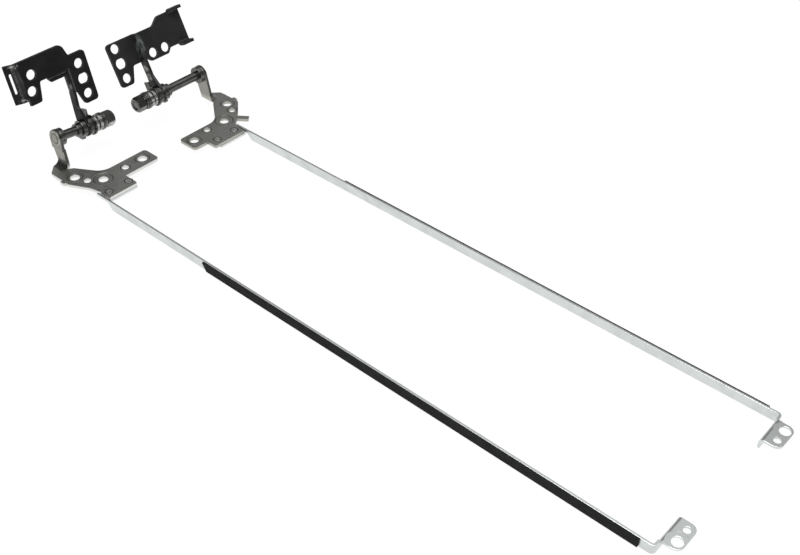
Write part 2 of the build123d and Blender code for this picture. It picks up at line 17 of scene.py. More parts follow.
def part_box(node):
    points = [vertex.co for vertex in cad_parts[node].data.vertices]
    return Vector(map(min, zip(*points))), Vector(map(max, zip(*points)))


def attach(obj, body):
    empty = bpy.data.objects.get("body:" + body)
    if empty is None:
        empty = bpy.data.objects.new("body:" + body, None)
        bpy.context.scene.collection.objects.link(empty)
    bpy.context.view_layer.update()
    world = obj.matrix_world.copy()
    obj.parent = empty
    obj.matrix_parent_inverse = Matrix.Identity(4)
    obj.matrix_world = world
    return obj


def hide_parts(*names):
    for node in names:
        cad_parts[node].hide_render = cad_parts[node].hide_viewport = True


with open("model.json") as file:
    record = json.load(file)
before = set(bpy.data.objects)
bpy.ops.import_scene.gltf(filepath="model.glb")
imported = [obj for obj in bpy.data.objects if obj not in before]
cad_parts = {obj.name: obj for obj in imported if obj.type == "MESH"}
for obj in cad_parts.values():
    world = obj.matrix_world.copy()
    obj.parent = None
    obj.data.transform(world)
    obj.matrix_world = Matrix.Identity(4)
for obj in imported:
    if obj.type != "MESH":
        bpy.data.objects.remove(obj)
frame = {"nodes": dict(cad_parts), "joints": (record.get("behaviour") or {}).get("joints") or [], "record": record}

log = logging.getLogger("hinge_pair")
MM = 0.001
MERGE_GAP = 0.004 * MM
FLAT_ANGLE = math.radians(0.6)
RIM_ROOM = 2.5
TURN_COLUMNS = 96
BEAD_SINK = 0.004 * MM
BEAD_FOOT = 0.05 * MM
SEAM_HEIGHT = 0.02 * MM
HEAD_FOOT = 0.02 * MM
Colour = Tuple[float, float, float]
Point = Tuple[float, float, float]
Socket = Union[bpy.types.NodeSocket, float, Tuple[float, ...]]


class Side(Enum):
    """The two hinges of the pair."""

    RIGHT = "right"
    LEFT = "left"

    @property
    def inward(self) -> int:
        """Sign along X of the way towards the other hinge."""
        return -1 if self is Side.RIGHT else 1


@dataclass(frozen=True)
class Place:
    """Where the features of one hinge lie, worked out from the frame."""

    side: Side

    @property
    def _joint(self) -> dict:
        """The hinge's joint in the record."""
        return next(j for j in frame["joints"] if j["name"] == f"{self.side.value}_hinge")

    @property
    def pivot(self) -> np.ndarray:
        """A point on the shaft's axis."""
        return np.array(self._joint["pos_m"])

    @property
    def along(self) -> np.ndarray:
        """Unit vector along the shaft, inward."""
        return np.array(self._joint["axis"]) * self.side.inward

    def span(self, node: str) -> Tuple[float, float]:
        """How far a CAD node reaches along the shaft, inward from the pivot.

        Args:
            node: the node's name without the hinge's name.

        Returns:
            Its nearest and farthest places, in metres.
        """
        mesh = frame["nodes"][f"{self.side.value}_{node}"].data
        flat = np.empty(len(mesh.vertices) * 3, dtype=np.float32)
        mesh.vertices.foreach_get("co", flat)
        run = (flat.reshape(-1, 3) - self.pivot) @ self.along
        return float(run.min()), float(run.max())

    def lid(self, u: float, v: float, rise: float = 0.0) -> np.ndarray:
        """A point on the lid plate's top.

        Args:
            u: millimetres inward from the rail's outer face.
            v: millimetres forward of the shaft.
            rise: millimetres above the plate.

        Returns:
            The point in metres.
        """
        low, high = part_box(f"{self.side.value}_rail")
        outer = high[0] if self.side is Side.RIGHT else low[0]
        return np.array([outer + self.side.inward * u * MM, self.pivot[1] + v * MM, high[2] + rise * MM])

    @property
    def face(self) -> Point:
        """Unit vector out of the base plate's front."""
        return tuple(self._plate["axis"])

    @property
    def _plate(self) -> dict:
        """The base plate's screw pattern in the record, centred on the locating hole."""
        return next(m for m in frame["record"]["mounts"] if m["name"] == f"{self.side.value}_base_screws")

    def plate(self, across: float, up: float, out: float = 0.0) -> Point:
        """A point on the base plate.

        Args:
            across: millimetres inward from the locating hole.
            up: millimetres up the plate from the locating hole.
            out: millimetres out of the plate's front.

        Returns:
            The point in metres.
        """
        front = Vector(self.face)
        rise = Vector((1.0, 0.0, 0.0)).cross(front)
        step = Vector((self.side.inward * across, 0.0, 0.0)) + rise * up + front * out
        return tuple(Vector(self._plate["pos_m"]) + step * MM)


class Graph:
    """A node tree with short ways to add nodes, set their sockets and link them."""

    def __init__(self, tree: bpy.types.NodeTree) -> None:
        """Keeps the tree and empties it."""
        self.tree = tree
        tree.nodes.clear()

    def put(self, target: bpy.types.NodeSocket, value: Socket) -> None:
        """Links a socket to an input, or sets the input's own value.

        Args:
            target: the input socket.
            value: another socket, a number or a tuple.
        """
        if isinstance(value, bpy.types.NodeSocket):
            self.tree.links.new(value, target)
        elif isinstance(value, tuple) and len(value) == 3 and target.type == "RGBA":
            target.default_value = (*value, 1.0)
        else:
            target.default_value = value

    def add(self, kind: str, inputs: Optional[Dict[Union[str, int], Socket]] = None,
            **settings: object) -> bpy.types.Node:
        """Adds a node.

        Args:
            kind: the node's type name without the ShaderNode prefix.
            inputs: values or sockets for its inputs, by name or index.
            settings: attributes to set on the node first.

        Returns:
            The new node.
        """
        node = self.tree.nodes.new("ShaderNode" + kind)
        for name, value in settings.items():
            setattr(node, name, value)
        for name, value in (inputs or {}).items():
            self.put(node.inputs[name], value)
        return node

    def math(self, operation: str, a: Socket, b: Socket = 0.0, clamp: bool = False) -> bpy.types.NodeSocket:
        """Adds a math node and returns its result."""
        return self.add("Math", {0: a, 1: b}, operation=operation, use_clamp=clamp).outputs[0]

    def vector(self, operation: str, a: Socket, b: Socket) -> bpy.types.NodeSocket:
        """Adds a vector math node and returns its result, a number for dot products and lengths."""
        node = self.add("VectorMath", {0: a, 1: b}, operation=operation)
        return node.outputs["Value" if operation in ("DOT_PRODUCT", "DISTANCE") else "Vector"]

    def span(self, value: Socket, low: Socket, high: Socket, start: float = 0.0,
             end: float = 1.0) -> bpy.types.NodeSocket:
        """Maps low..high smoothly onto start..end and returns the result."""
        node = self.add("MapRange", {"Value": value, "From Min": low, "From Max": high, "To Min": start,
                                     "To Max": end}, interpolation_type="SMOOTHSTEP")
        return node.outputs["Result"]

    def blend(self, share: Socket, a: Socket, b: Socket) -> bpy.types.NodeSocket:
        """Mixes two colours and returns the result."""
        node = self.add("Mix", data_type="RGBA", clamp_factor=True)
        self.put(node.inputs[0], share)
        self.put(node.inputs[6], a)
        self.put(node.inputs[7], b)
        return node.outputs[2]

    def use(self, group: bpy.types.NodeTree, **values: Socket) -> bpy.types.Node:
        """Places a node group and sets its inputs by name."""
        node = self.tree.nodes.new("ShaderNodeGroup")
        node.node_tree = group
        for name, value in values.items():
            self.put(node.inputs[name], value)
        return node


class Effects:
    """The surface effects that several finishes share, each one node group."""

    def __init__(self) -> None:
        """Builds every group once."""
        self.grain = self._grain()
        self.cloud = self._cloud()
        self.edge_rub_and_highlight = self._edge_rub_and_highlight()
        self.fold = self._fold()
        self.patch = self._patch()

    @staticmethod
    def _new(name: str, inputs: Dict[str, Tuple[str, object]],
             outputs: Sequence[str]) -> Tuple[Graph, bpy.types.Node, bpy.types.Node]:
        """Makes an empty group.

        Args:
            name: the group's name.
            inputs: each input's socket type and default.
            outputs: names of its float outputs.

        Returns:
            Its graph, its input node and its output node.
        """
        tree = bpy.data.node_groups.new(name, "ShaderNodeTree")
        for label, (kind, default) in inputs.items():
            socket = tree.interface.new_socket(label, in_out="INPUT", socket_type="NodeSocket" + kind)
            socket.default_value = default
        for label in outputs:
            tree.interface.new_socket(label, in_out="OUTPUT", socket_type="NodeSocketFloat")
        graph = Graph(tree)
        return graph, tree.nodes.new("NodeGroupInput"), tree.nodes.new("NodeGroupOutput")

    def _grain(self) -> bpy.types.NodeTree:
        """Rolled sheet grain: noise drawn out along the way the strip was rolled."""
        g, given, out = self._new(
            "rolled_grain", {"Scale": ("Float", 3000.0), "Draw": ("Vector", (1.0, 1.0, 1.0))}, ["Grain"])
        place = g.add("TexCoord").outputs["Object"]
        drawn = g.vector("MULTIPLY", place, given.outputs["Draw"])
        noise = g.add("TexNoise", {"Vector": drawn, "Scale": given.outputs["Scale"], "Detail": 4.0,
                                   "Roughness": 0.6})
        g.put(out.inputs["Grain"], noise.outputs[0])
        return g.tree

    def _cloud(self) -> bpy.types.NodeTree:
        """Handling film and plating clouds: a wide warped noise and a fine one for specks."""
        g, given, out = self._new("film_cloud", {"Scale": ("Float", 250.0)}, ["Cloud", "Speck"])
        place = g.add("TexCoord").outputs["Object"]
        wide = g.add("TexNoise", {"Vector": place, "Scale": given.outputs["Scale"], "Detail": 3.0,
                                  "Distortion": 0.6})
        fine_scale = g.math("MULTIPLY", given.outputs["Scale"], 7.0)
        fine = g.add("TexNoise", {"Vector": place, "Scale": fine_scale, "Detail": 2.0})
        g.put(out.inputs["Cloud"], g.span(wide.outputs[0], 0.3, 0.7))
        g.put(out.inputs["Speck"], g.span(fine.outputs[0], 0.56, 0.72))
        return g.tree

    def _edge_rub_and_highlight(self) -> bpy.types.NodeTree:
        """Rubbed edges, which on the dark steel parts are a painted highlight along the rims: where the rounded
        normal leaves the face's own, broken up by noise.
        """
        g, given, out = self._new(
            "rubbed_edge_and_rim_highlight", {"Width": ("Float", 0.0003), "Breakup": ("Float", 900.0), "Amount": ("Float", 1.0)},
            ["Rub"])
        rounded = g.add("Bevel", {"Radius": given.outputs["Width"]}, samples=6).outputs[0]
        flat = g.add("NewGeometry").outputs["Normal"]
        turn = g.vector("DOT_PRODUCT", rounded, flat)
        bend = g.span(g.math("SUBTRACT", 1.0, turn), 0.01, 0.22)
        place = g.add("TexCoord").outputs["Object"]
        noise = g.add("TexNoise", {"Vector": place, "Scale": given.outputs["Breakup"], "Detail": 3.0}).outputs[0]
        broken = g.math("MULTIPLY", bend, g.span(noise, 0.36, 0.6))
        g.put(out.inputs["Rub"], g.math("MULTIPLY", broken, given.outputs["Amount"], clamp=True))
        return g.tree

    def _fold(self) -> bpy.types.NodeTree:
        """Folds and faces square to a flat face: where the normal starts to turn from it, and where it is square to
        it. The finishes lay rubbed bends, painted shade in folds, a painted reflection and painted edge shade with
        these masks.
        """
        g, given, out = self._new("turned_from_face", {"Face": ("Vector", (0.0, 0.0, 1.0))}, ["Fold", "Square To Face"])
        coordinates = g.add("TexCoord")
        lean = g.math("ABSOLUTE", g.vector("DOT_PRODUCT", coordinates.outputs["Normal"], given.outputs["Face"]))
        band = g.math("MULTIPLY", g.span(lean, 0.99, 0.96), g.span(lean, 0.835, 0.88))
        place = coordinates.outputs["Object"]
        noise = g.add("TexNoise", {"Vector": place, "Scale": 1400.0, "Detail": 3.0}).outputs[0]
        g.put(out.inputs["Fold"], g.math("MULTIPLY", band, g.span(noise, 0.25, 0.6)))
        # Faces square to the face: the mask for the painted reflection on the nickel and the painted shade on the
        # arm's edge faces.
        g.put(out.inputs["Square To Face"], g.span(lean, 0.5, 0.3))
        return g.tree

    def _patch(self) -> bpy.types.NodeTree:
        """A patch for scuffs, painted highlights and painted shade: solid up to a share of its reach, then fading,
        broken up by noise drawn into streaks.
        """
        g, given, out = self._new(
            "scuff_and_painted_light_patch", {"Centre": ("Vector", (0.0, 0.0, 0.0)), "Reach": ("Vector", (1.0, 1.0, 1.0)),
                              "Streak": ("Vector", (1.0, 1.0, 1.0)), "Breakup": ("Float", 1500.0),
                              "Solid": ("Float", 0.0), "Fade": ("Float", 0.35)}, ["Patch"])
        place = g.add("TexCoord").outputs["Object"]
        away = g.vector("DIVIDE", g.vector("SUBTRACT", place, given.outputs["Centre"]), given.outputs["Reach"])
        near = g.span(g.vector("DISTANCE", away, (0.0, 0.0, 0.0)), 1.0, given.outputs["Fade"])
        drawn = g.vector("MULTIPLY", place, given.outputs["Streak"])
        noise = g.add("TexNoise", {"Vector": drawn, "Scale": given.outputs["Breakup"], "Detail": 3.0}).outputs[0]
        broken = g.math("MAXIMUM", g.span(noise, 0.44, 0.62), given.outputs["Solid"])
        g.put(out.inputs["Patch"], g.math("MULTIPLY", near, broken, clamp=True))
        return g.tree


@dataclass(frozen=True)
class Patch:
    """A place on a piece, an ellipsoid in which another colour shows, for scuffs, a tint and painted highlights.

    Where face is given, faces square to it take the colour of edge instead, which is painted shade on the sheet's
    edge faces.
    """

    centre: Point
    reach: Point
    colour: Colour
    amount: float = 0.7
    solid: float = 0.0
    breakup: float = 1500.0
    streak: Point = (1.0, 1.0, 1.0)
    fade: float = 0.35
    face: Optional[Point] = None
    # Painted shade on the edge faces of a patch.
    edge: Colour = (0.03, 0.03, 0.028)


@dataclass(frozen=True)
class SheetFinish:
    """A coated or plated sheet: cloudy colour, rolled grain, rubbed edges and folds, scuffed patches, and where set,
    painted shade in folds, a painted reflection on faces square to the sheet and painted highlights on rims and in
    patches.
    """

    name: str
    slot: str
    dark: Colour
    light: Colour
    edge: Colour
    metallic: float
    gloss: Tuple[float, float]
    specular: float = 0.5
    cloud_scale: float = 250.0
    grain_scale: float = 3000.0
    grain_draw: Point = (1.0, 0.12, 1.0)
    grain_share: float = 0.3
    edge_width: float = 0.3 * MM
    edge_amount: float = 1.0
    bump: float = 0.05
    bump_height: float = 0.05 * MM
    speck_share: float = 0.06
    coat: float = 0.0
    coat_rough: float = 0.2
    face: Optional[Point] = None
    fold: Colour = (0.06, 0.06, 0.058)
    cut: Optional[Colour] = None
    patches: Tuple[Patch, ...] = ()

    def material(self, effects: Effects) -> bpy.types.Material:
        """Builds the finish.

        Args:
            effects: the shared groups.

        Returns:
            The new material.
        """
        made = bpy.data.materials.new(self.name)
        made.use_nodes = True
        g = Graph(made.node_tree)
        cloud = g.use(effects.cloud, Scale=self.cloud_scale)
        grain = g.use(effects.grain, Scale=self.grain_scale, Draw=self.grain_draw).outputs["Grain"]
        edge_rub_and_highlight = g.use(effects.edge_rub_and_highlight, Width=self.edge_width, Amount=self.edge_amount).outputs["Rub"]
        share = g.math("ADD", g.math("MULTIPLY", cloud.outputs["Cloud"], 1.0 - self.grain_share),
                       g.math("MULTIPLY", grain, self.grain_share), clamp=True)
        colour = g.blend(share, self.dark, self.light)
        # Fold colour: rubbed bends on the black coat, painted shade in the folds of the nickel. Cut colour: a painted
        # reflection of the table on faces square to the sheet.
        if self.face:
            turned_away = g.use(effects.fold, Face=self.face)
            colour = g.blend(turned_away.outputs["Fold"], colour, self.fold)
            if self.cut:
                colour = g.blend(turned_away.outputs["Square To Face"], colour, self.cut)
        # Patches: scuffs, a tint, painted highlights and painted shade.
        for spot in self.patches:
            patch_share = g.use(effects.patch, Centre=spot.centre, Reach=spot.reach, Streak=spot.streak,
                         Breakup=spot.breakup, Solid=spot.solid, Fade=spot.fade).outputs["Patch"]
            tone = spot.colour
            # Faces square to the patch's face take its edge colour, painted shade on the edge faces.
            if spot.face:
                tone = g.blend(g.use(effects.fold, Face=spot.face).outputs["Square To Face"], spot.colour, spot.edge)
            colour = g.blend(g.math("MULTIPLY", patch_share, spot.amount), colour, tone)
        # Edge colour: rubbed edges, and a painted rim highlight on the dark steel parts.
        colour = g.blend(edge_rub_and_highlight, colour, self.edge)
        low, high = self.gloss
        rough = g.span(share, 0.0, 1.0, high, low)
        rough = g.math("ADD", rough, g.math("MULTIPLY", cloud.outputs["Speck"], self.speck_share), clamp=True)
        bump = g.add("Bump", {"Strength": self.bump, "Distance": self.bump_height, "Height": grain}).outputs[0]
        shader = g.add("BsdfPrincipled", {
            "Base Color": colour, "Metallic": self.metallic, "Roughness": rough, "Normal": bump,
            "Specular IOR Level": self.specular, "Coat Weight": self.coat,
            "Coat Roughness": self.coat_rough})
        out = g.add("OutputMaterial")
        g.put(out.inputs["Surface"], shader.outputs[0])
        return made


@dataclass(frozen=True)
class FoamFinish:
    """Matte closed-cell foam: dark with fine cells and a dusty bloom."""

    name: str = "black_foam_cells"
    slot: str = "black_foam"
    dark: Colour = (0.006, 0.006, 0.006)
    light: Colour = (0.02, 0.02, 0.021)
    cell_scale: float = 5200.0
    cloud_scale: float = 400.0
    bump: float = 0.5
    cell_depth: float = 0.08 * MM
    specular: float = 0.2

    def material(self, effects: Effects) -> bpy.types.Material:
        """Builds the finish from Voronoi cells and the shared clouds.

        Args:
            effects: the shared groups.

        Returns:
            The new material.
        """
        made = bpy.data.materials.new(self.name)
        made.use_nodes = True
        g = Graph(made.node_tree)
        place = g.add("TexCoord").outputs["Object"]
        cells = g.add("TexVoronoi", {"Vector": place, "Scale": self.cell_scale}).outputs["Distance"]
        cloud = g.use(effects.cloud, Scale=self.cloud_scale)
        share = g.math("ADD", g.math("MULTIPLY", cells, 0.7), g.math("MULTIPLY", cloud.outputs["Cloud"], 0.4),
                       clamp=True)
        colour = g.blend(share, self.dark, self.light)
        bump = g.add("Bump", {"Strength": self.bump, "Distance": self.cell_depth, "Height": cells}).outputs[0]
        rough = g.span(cells, 0.0, 0.8, 0.98, 0.86)
        shader = g.add("BsdfPrincipled", {"Base Color": colour, "Roughness": rough, "Normal": bump,
                                          "Specular IOR Level": self.specular})
        out = g.add("OutputMaterial")
        g.put(out.inputs["Surface"], shader.outputs[0])
        return made


BLACK_COAT = SheetFinish(
    "satin_black_coat", "black_paint", (0.004, 0.004, 0.004), (0.008, 0.008, 0.008), (0.11, 0.11, 0.108),
    metallic=0.0, gloss=(0.4, 0.52), specular=0.15, cloud_scale=180.0, grain_share=0.15, edge_width=0.25 * MM,
    edge_amount=0.7, bump=0.02)
# Its fold colour is painted shade in the bend by the arm, and its cut colour a painted reflection of the table on
# faces square to the plate.
DULL_NICKEL = SheetFinish(
    "dull_nickel_plate", "dark_nickel", (0.3, 0.3, 0.285), (0.42, 0.42, 0.4), (0.72, 0.72, 0.7),
    metallic=1.0, gloss=(0.3, 0.42), cloud_scale=420.0, edge_width=0.2 * MM, edge_amount=0.7, bump=0.06,
    face=(0.0, 0.0, 1.0), fold=(0.2, 0.2, 0.19), cut=(0.72, 0.72, 0.7))
# Dark nickel for painted shade: in the bend sweep by the right arm and in the seams round the staked end and the
# rivet heads.
DARK_BEND = SheetFinish(
    "painted_shade_bend", "dark_nickel", (0.035, 0.034, 0.03), (0.1, 0.098, 0.09), (0.3, 0.3, 0.28),
    metallic=1.0, gloss=(0.3, 0.44), cloud_scale=700.0, edge_amount=0.3, bump=0.08)
# Painted shade along the pressed lines round the holes.
PRESSED_LINE = replace(
    DARK_BEND, name="pressed_line", dark=(0.07, 0.07, 0.066), light=(0.2, 0.2, 0.19), cloud_scale=350.0)
BRIGHT_ZINC = SheetFinish(
    "bright_zinc_plate", "bright_zinc", (0.6, 0.63, 0.62), (0.69, 0.715, 0.71), (0.8, 0.82, 0.82),
    metallic=1.0, gloss=(0.24, 0.34), cloud_scale=220.0, grain_draw=(1.0, 0.06, 1.0), edge_amount=0.4)
# Its edge colour is a painted highlight along the rims of the washers and the nut, laid with the rubbed-edge mask.
OILED_BLACK = SheetFinish(
    "oiled_black_oxide", "black_oxide", (0.05, 0.05, 0.047), (0.14, 0.14, 0.133), (0.62, 0.62, 0.6),
    metallic=1.0, gloss=(0.18, 0.32), cloud_scale=600.0, edge_width=0.16 * MM, coat=0.3)
TURNED_STEEL = replace(
    OILED_BLACK, name="turned_dark_steel", dark=(0.07, 0.07, 0.066), light=(0.15, 0.15, 0.143),
    edge=(0.36, 0.36, 0.34), gloss=(0.14, 0.24), edge_amount=0.8, grain_draw=(1.0, 0.1, 0.1), cloud_scale=350.0)
SPRING_STEEL = SheetFinish(
    "bright_spring_steel", "spring_steel", (0.16, 0.16, 0.153), (0.62, 0.62, 0.61), (0.9, 0.9, 0.88),
    metallic=1.0, gloss=(0.14, 0.26), cloud_scale=900.0, edge_width=0.12 * MM)
# Its light edge colour is a painted highlight along the rims.
HOOK_STEEL = replace(
    SPRING_STEEL, name="dark_spring_steel", dark=(0.04, 0.04, 0.038), light=(0.1, 0.1, 0.095),
    edge=(0.75, 0.75, 0.73))
FOAM = FoamFinish()


def surface(name: str, points: np.ndarray, wrap: Tuple[bool, bool], caps: bool = False) -> bpy.types.Object:
    """Makes a mesh object from a grid of points, with quads between neighbours.

    Args:
        name: the piece's name.
        points: array of rows, columns and xyz, in metres in the row frame.
        wrap: whether the rows and the columns close on themselves.
        caps: whether the first and last rows are closed with a face each.

    Returns:
        The new object, at the origin.
    """
    rows, columns = points.shape[:2]
    index = np.arange(rows * columns).reshape(rows, columns)
    down = np.roll(index, -1, axis=0) if wrap[0] else index[1:]
    here = index if wrap[0] else index[:-1]
    across_here = np.roll(here, -1, axis=1) if wrap[1] else here[:, 1:]
    across_down = np.roll(down, -1, axis=1) if wrap[1] else down[:, 1:]
    left_here = here if wrap[1] else here[:, :-1]
    left_down = down if wrap[1] else down[:, :-1]
    quads = np.stack([left_here, across_here, across_down, left_down], axis=-1).reshape(-1, 4)
    faces = quads.tolist()
    if caps:
        faces += [index[0, ::-1].tolist(), index[-1].tolist()]
    mesh = bpy.data.meshes.new(name)
    mesh.from_pydata(points.reshape(-1, 3).tolist(), [], faces)
    shell = bmesh.new()
    shell.from_mesh(mesh)
    bmesh.ops.recalc_face_normals(shell, faces=shell.faces)
    shell.to_mesh(mesh)
    shell.free()
    mesh.shade_smooth()
    piece = bpy.data.objects.new(name, mesh)
    bpy.context.scene.collection.objects.link(piece)
    return piece


def turned(name: str, origin: np.ndarray, axis: np.ndarray, along: np.ndarray, radius: np.ndarray,
           ring: bool = False) -> bpy.types.Object:
    """Turns a profile about an axis: origin, plus along times the axis, plus radius times the turning spoke.

    Args:
        name: the piece's name.
        origin: a point on the axis.
        axis: unit vector of the axis, square to +Y.
        along: the profile's places along the axis.
        radius: the profile's radius, for each place, or for each place and each of the columns.
        ring: whether the profile closes on itself. If not, both ends are capped.

    Returns:
        The new object.
    """
    if radius.ndim == 1:
        radius = np.repeat(radius[:, None], TURN_COLUMNS, axis=1)
    turn = np.linspace(0, 2 * math.pi, radius.shape[1], endpoint=False)
    first = np.array([0.0, 1.0, 0.0])
    spoke = np.cos(turn)[:, None] * first + np.sin(turn)[:, None] * np.cross(axis, first)
    points = origin + along[:, None, None] * axis + radius[:, :, None] * spoke
    return surface(name, points, (ring, True), caps=not ring)


class Rims:
    """The sharp edges of a merged CAD copy, and which of them have room to be rounded."""

    turn = math.radians(50)
    pitch = 0.15 * MM
    same_place = 0.001 * MM
    in_line = 0.7

    def __init__(self, shell: bmesh.types.BMesh, reach: float) -> None:
        """Finds the sharp edges and lays points along them.

        Args:
            shell: the merged mesh.
            reach: how near two rims may pass before neither is rounded, in metres.
        """
        self.reach = reach
        self.sharp = [e for e in shell.edges if e.is_manifold and e.calc_face_angle(0.0) > self.turn]
        laid = [self._points(edge) for edge in self.sharp]
        self.tree = KDTree(sum(len(points) for points in laid))
        for number, point in enumerate(chain.from_iterable(laid)):
            self.tree.insert(point, number)
        self.tree.balance()

    def _points(self, edge: bmesh.types.BMEdge) -> List[Vector]:
        """Points along an edge, a pitch apart or closer, with both ends."""
        first, last = (vert.co for vert in edge.verts)
        steps = max(1, math.ceil(edge.calc_length() / self.pitch))
        return [first.lerp(last, step / steps) for step in range(steps + 1)]

    def free(self, edge: bmesh.types.BMEdge) -> bool:
        """Whether an edge stands out and every point of another rim near it lies ahead of it or behind it."""
        first, last = (vert.co for vert in edge.verts)
        run = (last - first).normalized()
        gaps = (Vector(place) - point for point in self._points(edge)
                for place, _, gap in self.tree.find_range(point, self.reach) if gap > self.same_place)
        return edge.is_convex and all(abs(gap.normalized().dot(run)) > self.in_line for gap in gaps)


def bead(name: str, origin: np.ndarray, axis: np.ndarray, radius: float, half: float,
         height: float) -> bpy.types.Object:
    """Makes a low ring whose height across its width is the square of a parabola, sunk a little at its foot.

    Args:
        name: the piece's name.
        origin: the ring's centre on the surface that carries it.
        axis: unit vector out of that surface.
        radius: the ring's middle radius.
        half: half of its width.
        height: how far it stands out.

    Returns:
        The new object.
    """
    across = np.linspace(-1.0, 1.0, 9)
    along = np.append(height * (1 - across ** 2) ** 2 - BEAD_SINK, -BEAD_FOOT)
    return turned(name, origin, axis, along, np.append(radius + half * across, radius), ring=True)


def rolled_edges(node: str, width: float, segments: int = 2) -> bpy.types.Object:
    """Copies a CAD node, merges its loose triangles and rounds its edges as a press tool leaves them.

    Args:
        node: the CAD node's name.
        width: how far the rounding reaches in from each edge, in metres.
        segments: how many faces each rounding has.

    Returns:
        The new object, with live Bevel and Weighted Normal modifiers.
    """
    mesh = frame["nodes"][node].data.copy()
    mesh.name = node + "_edged"
    mesh.materials.clear()
    shell = bmesh.new()
    shell.from_mesh(mesh)
    bmesh.ops.remove_doubles(shell, verts=shell.verts, dist=MERGE_GAP)
    bmesh.ops.dissolve_limit(shell, angle_limit=FLAT_ANGLE, verts=shell.verts, edges=shell.edges)
    weight = shell.edges.layers.float.new("bevel_weight_edge")
    rims = Rims(shell, RIM_ROOM * width)
    for edge in rims.sharp:
        edge.smooth = False
        edge[weight] = float(rims.free(edge))
    shell.to_mesh(mesh)
    shell.free()
    piece = bpy.data.objects.new(node + "_edged", mesh)
    bpy.context.scene.collection.objects.link(piece)
    bevel = piece.modifiers.new("rolled_edge", "BEVEL")
    bevel.width = width
    bevel.segments = segments
    bevel.limit_method = "WEIGHT"
    bevel.use_clamp_overlap = False
    weighted = piece.modifiers.new("flat_faces", "WEIGHTED_NORMAL")
    weighted.keep_sharp = True
    return piece


class Workshop:
    """Builds each finish once and dresses pieces with it."""

    def __init__(self) -> None:
        """Makes the shared effects."""
        self.effects = Effects()
        self.made: Dict[str, bpy.types.Material] = {}

    def dress(self, piece: bpy.types.Object, finish: Union[SheetFinish, FoamFinish], body: str,
              replaces: Sequence[str] = ()) -> bpy.types.Object:
        """Gives a piece its finish and puts it on its body.

        Args:
            piece: the piece.
            finish: the finish.
            body: the body that it rides on.
            replaces: the CAD nodes that it stands for.

        Returns:
            The same piece.
        """
        if finish.name not in self.made:
            self.made[finish.name] = finish.material(self.effects)
        piece.data.materials.clear()
        piece.data.materials.append(self.made[finish.name])
        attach(piece, body)
        if replaces:
            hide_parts(*replaces)
        log.info("%s on %s, finish %s", piece.name, body, finish.name)
        return piece


@dataclass
class SheetPiece:
    """A pressed or turned piece: the CAD node with rolled edges."""

    node: str
    body: str
    finish: SheetFinish
    edge: float = 0.12 * MM

    def build(self, shop: Workshop) -> bpy.types.Object:
        """Makes the piece and dresses it."""
        return shop.dress(rolled_edges(self.node, self.edge), self.finish, self.body, [self.node])


@dataclass
class Nut:
    """A collar nut: at each angle the radius is the lesser of the hexagon's and that of the turned outline."""

    place: Place
    flat: float = 2.25 * MM
    collar: float = 2.6 * MM
    collar_length: float = 0.8 * MM
    groove: float = 0.14 * MM
    chamfer: float = 0.45 * MM
    bore: float = 1.32 * MM
    lead: float = 0.25 * MM
    columns: int = 144
    neck_share: float = 0.94
    edge: float = 0.1 * MM
    crease: float = math.radians(28)
    # How strongly the painted highlight shows on one flat; none for a plain nut.
    patch_share: float = 0.0

    @property
    def finish(self) -> SheetFinish:
        """The black oxide; for one nut a lighter painted copy, with a painted highlight on its lower flat."""
        if not self.patch_share:
            return OILED_BLACK
        near, far = self.place.span("nut")
        middle = self.place.pivot + (near + 0.7 * (far - near)) * self.place.along
        low_flat = self.flat * np.array([0.0, math.cos(math.pi / 6), -math.sin(math.pi / 6)])
        # Painted highlight on the lower flat.
        bright = Patch(tuple(middle + low_flat), (2.4 * MM, 1.3 * MM, 1.6 * MM), (0.6, 0.6, 0.58), self.patch_share, 0.5)
        # Lighter copy of the oxide: painted light for this nut.
        return replace(OILED_BLACK, name="black_oxide_painted_highlight", dark=(0.08, 0.08, 0.076), light=(0.2, 0.2, 0.19),
                       patches=(bright,))

    def build(self, shop: Workshop) -> bpy.types.Object:
        """Makes the nut in the place of its CAD node and dresses it."""
        near, far = self.place.span("nut")
        length = far - near
        corner = self.flat / math.cos(math.pi / 6)
        inner = self.flat * self.neck_share
        edge = self.edge
        start = self.collar_length
        bevel = np.linspace(0, 1, 5)
        along = np.concatenate([
            [self.lead, 0.0, 0.0, edge, start - edge, start, start, start + self.groove, start + 2 * self.groove],
            length - self.chamfer * (1 - bevel), [length, length - self.lead]])
        outline = np.concatenate([
            [self.bore, self.bore + self.lead, self.collar - edge, self.collar, self.collar, self.collar - edge,
             inner, inner, corner], corner - (corner - inner) * bevel, [self.bore + self.lead, self.bore]])
        turn = np.linspace(0, 2 * math.pi, self.columns, endpoint=False)
        hexagon = self.flat / np.cos(np.mod(turn, math.pi / 3) - math.pi / 6)
        cut = along >= start
        radius = np.where(cut[:, None], np.minimum(hexagon[None, :], outline[:, None]), outline[:, None])
        name = f"{self.place.side.value}_nut"
        piece = turned(name + "_hexagon", self.place.pivot + near * self.place.along, self.place.along, along,
                       radius, ring=True)
        piece.data.set_sharp_from_angle(angle=self.crease)
        return shop.dress(piece, self.finish, "lid_side", [name])


